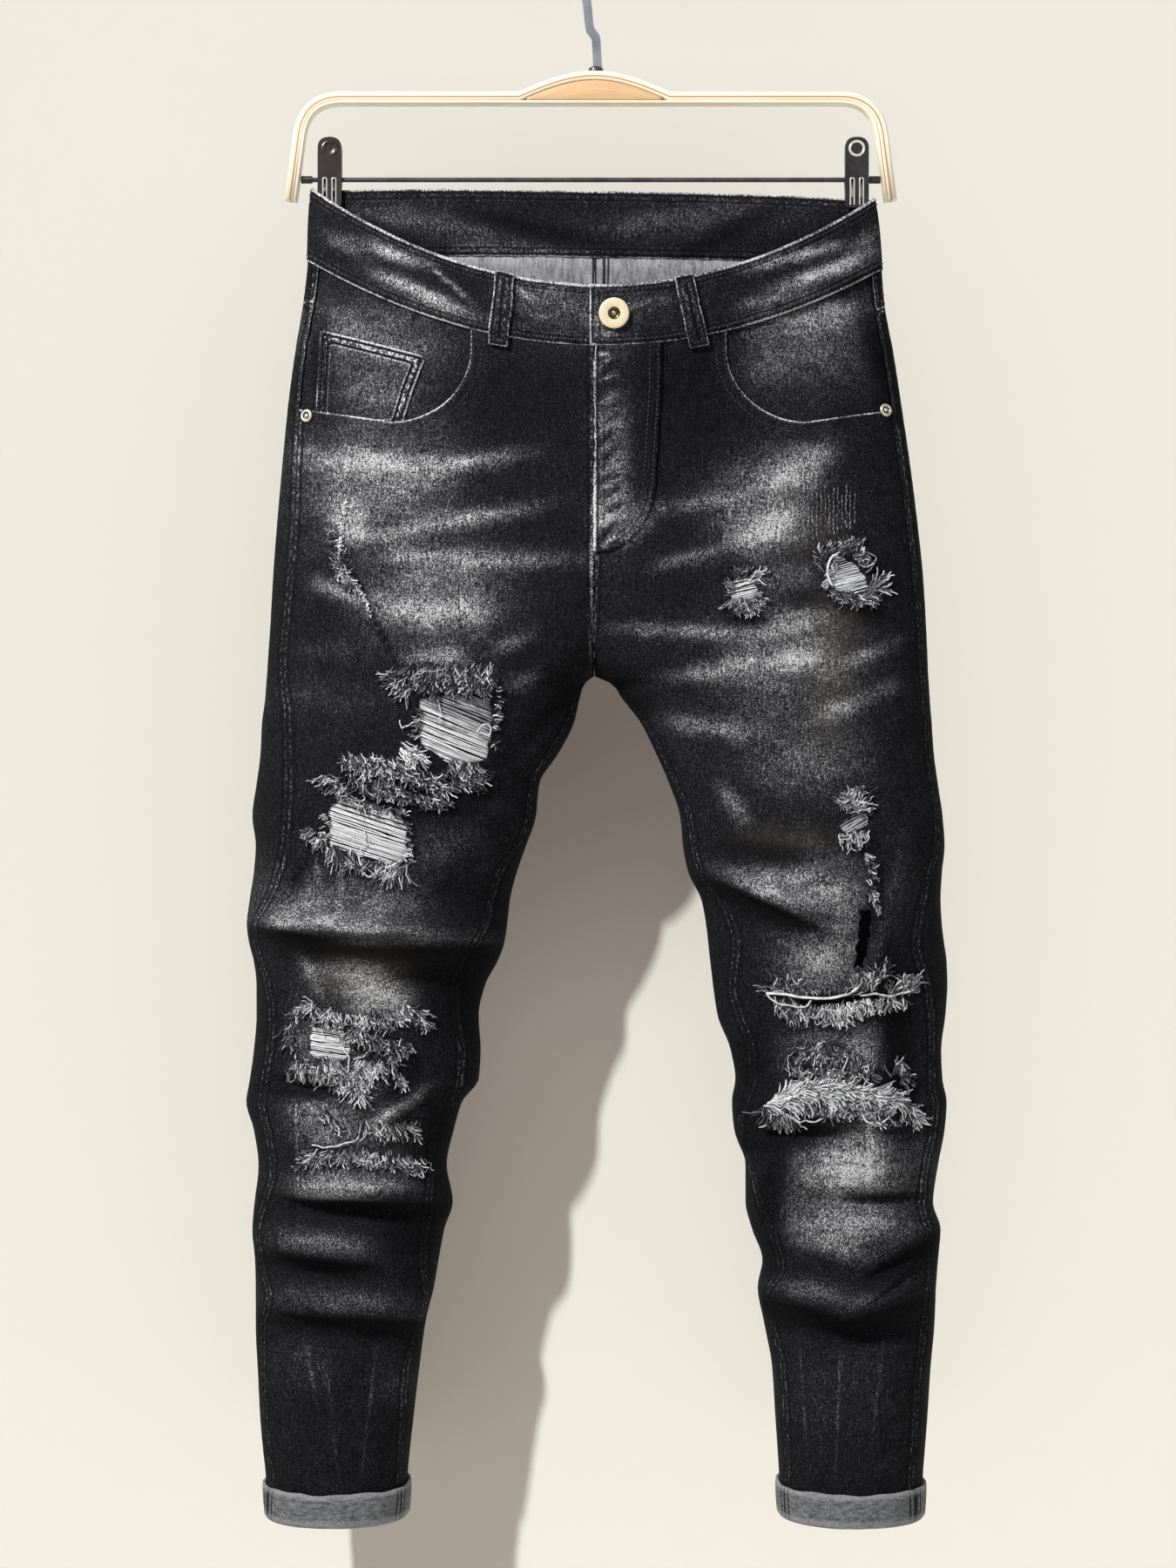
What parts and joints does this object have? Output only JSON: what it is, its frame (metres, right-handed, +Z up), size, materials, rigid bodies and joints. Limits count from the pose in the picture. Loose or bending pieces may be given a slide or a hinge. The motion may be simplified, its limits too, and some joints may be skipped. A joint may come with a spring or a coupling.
{
  "type": "ripped jeans on clip hanger",
  "caption": "Distressed slim denim jeans with open waist and leg tubes, torn knees and turned-up cuffs, hung by the waistband from a bentwood clip hanger.",
  "frame": {"origin": "inner crown of the hanger's hook, where it rests on a rail", "axes": "+Z up, the front of the jeans faces -Y, +X to the viewer's right when seen from the front"},
  "size_m": [0.5134, 0.1069, 1.1816],
  "materials": {
    "denim": "washed black denim, worn grey at the edges, seams and thighs",
    "denim_reverse": "pale blue-grey reverse of black denim, twill showing",
    "button_metal": "satin antique",
    "bentwood": "clear lacquer",
    "wood_core": "clear lacquer",
    "steel": "polished",
    "black_steel": "black nickel, glossy",
    "black_rubber": "matt"
  },
  "bodies": {
    "root": {"front_left": "denim", "front_right": "denim", "back_left": "denim", "back_right": "denim", "yoke_left": "denim", "yoke_right": "denim", "waistband": "denim", "pocket_facing_left": "denim", "pocket_facing_right": "denim", "coin_pocket": "denim", "fly": "denim", "back_pocket_left": "denim", "back_pocket_right": "denim", "belt_loop_front_left": "denim", "belt_loop_front_right": "denim", "belt_loop_back_left": "denim", "belt_loop_back_right": "denim", "belt_loop_back_centre": "denim", "cuff_left": "denim_reverse", "cuff_right": "denim_reverse", "button": "button_metal", "rivet_left": "button_metal", "rivet_right": "button_metal", "hanger_frame": "bentwood", "hanger_insert": "wood_core", "hanger_rod": "black_steel", "rod_sleeve_left": "black_rubber", "rod_sleeve_right": "black_rubber", "clip_left_front": "black_steel", "clip_left_back": "black_steel", "clip_left_spring": "steel", "clip_right_front": "black_steel", "clip_right_back": "black_steel", "clip_right_spring": "steel", "hook": "steel", "ferrule": "steel"}
  },
  "joints": []
}
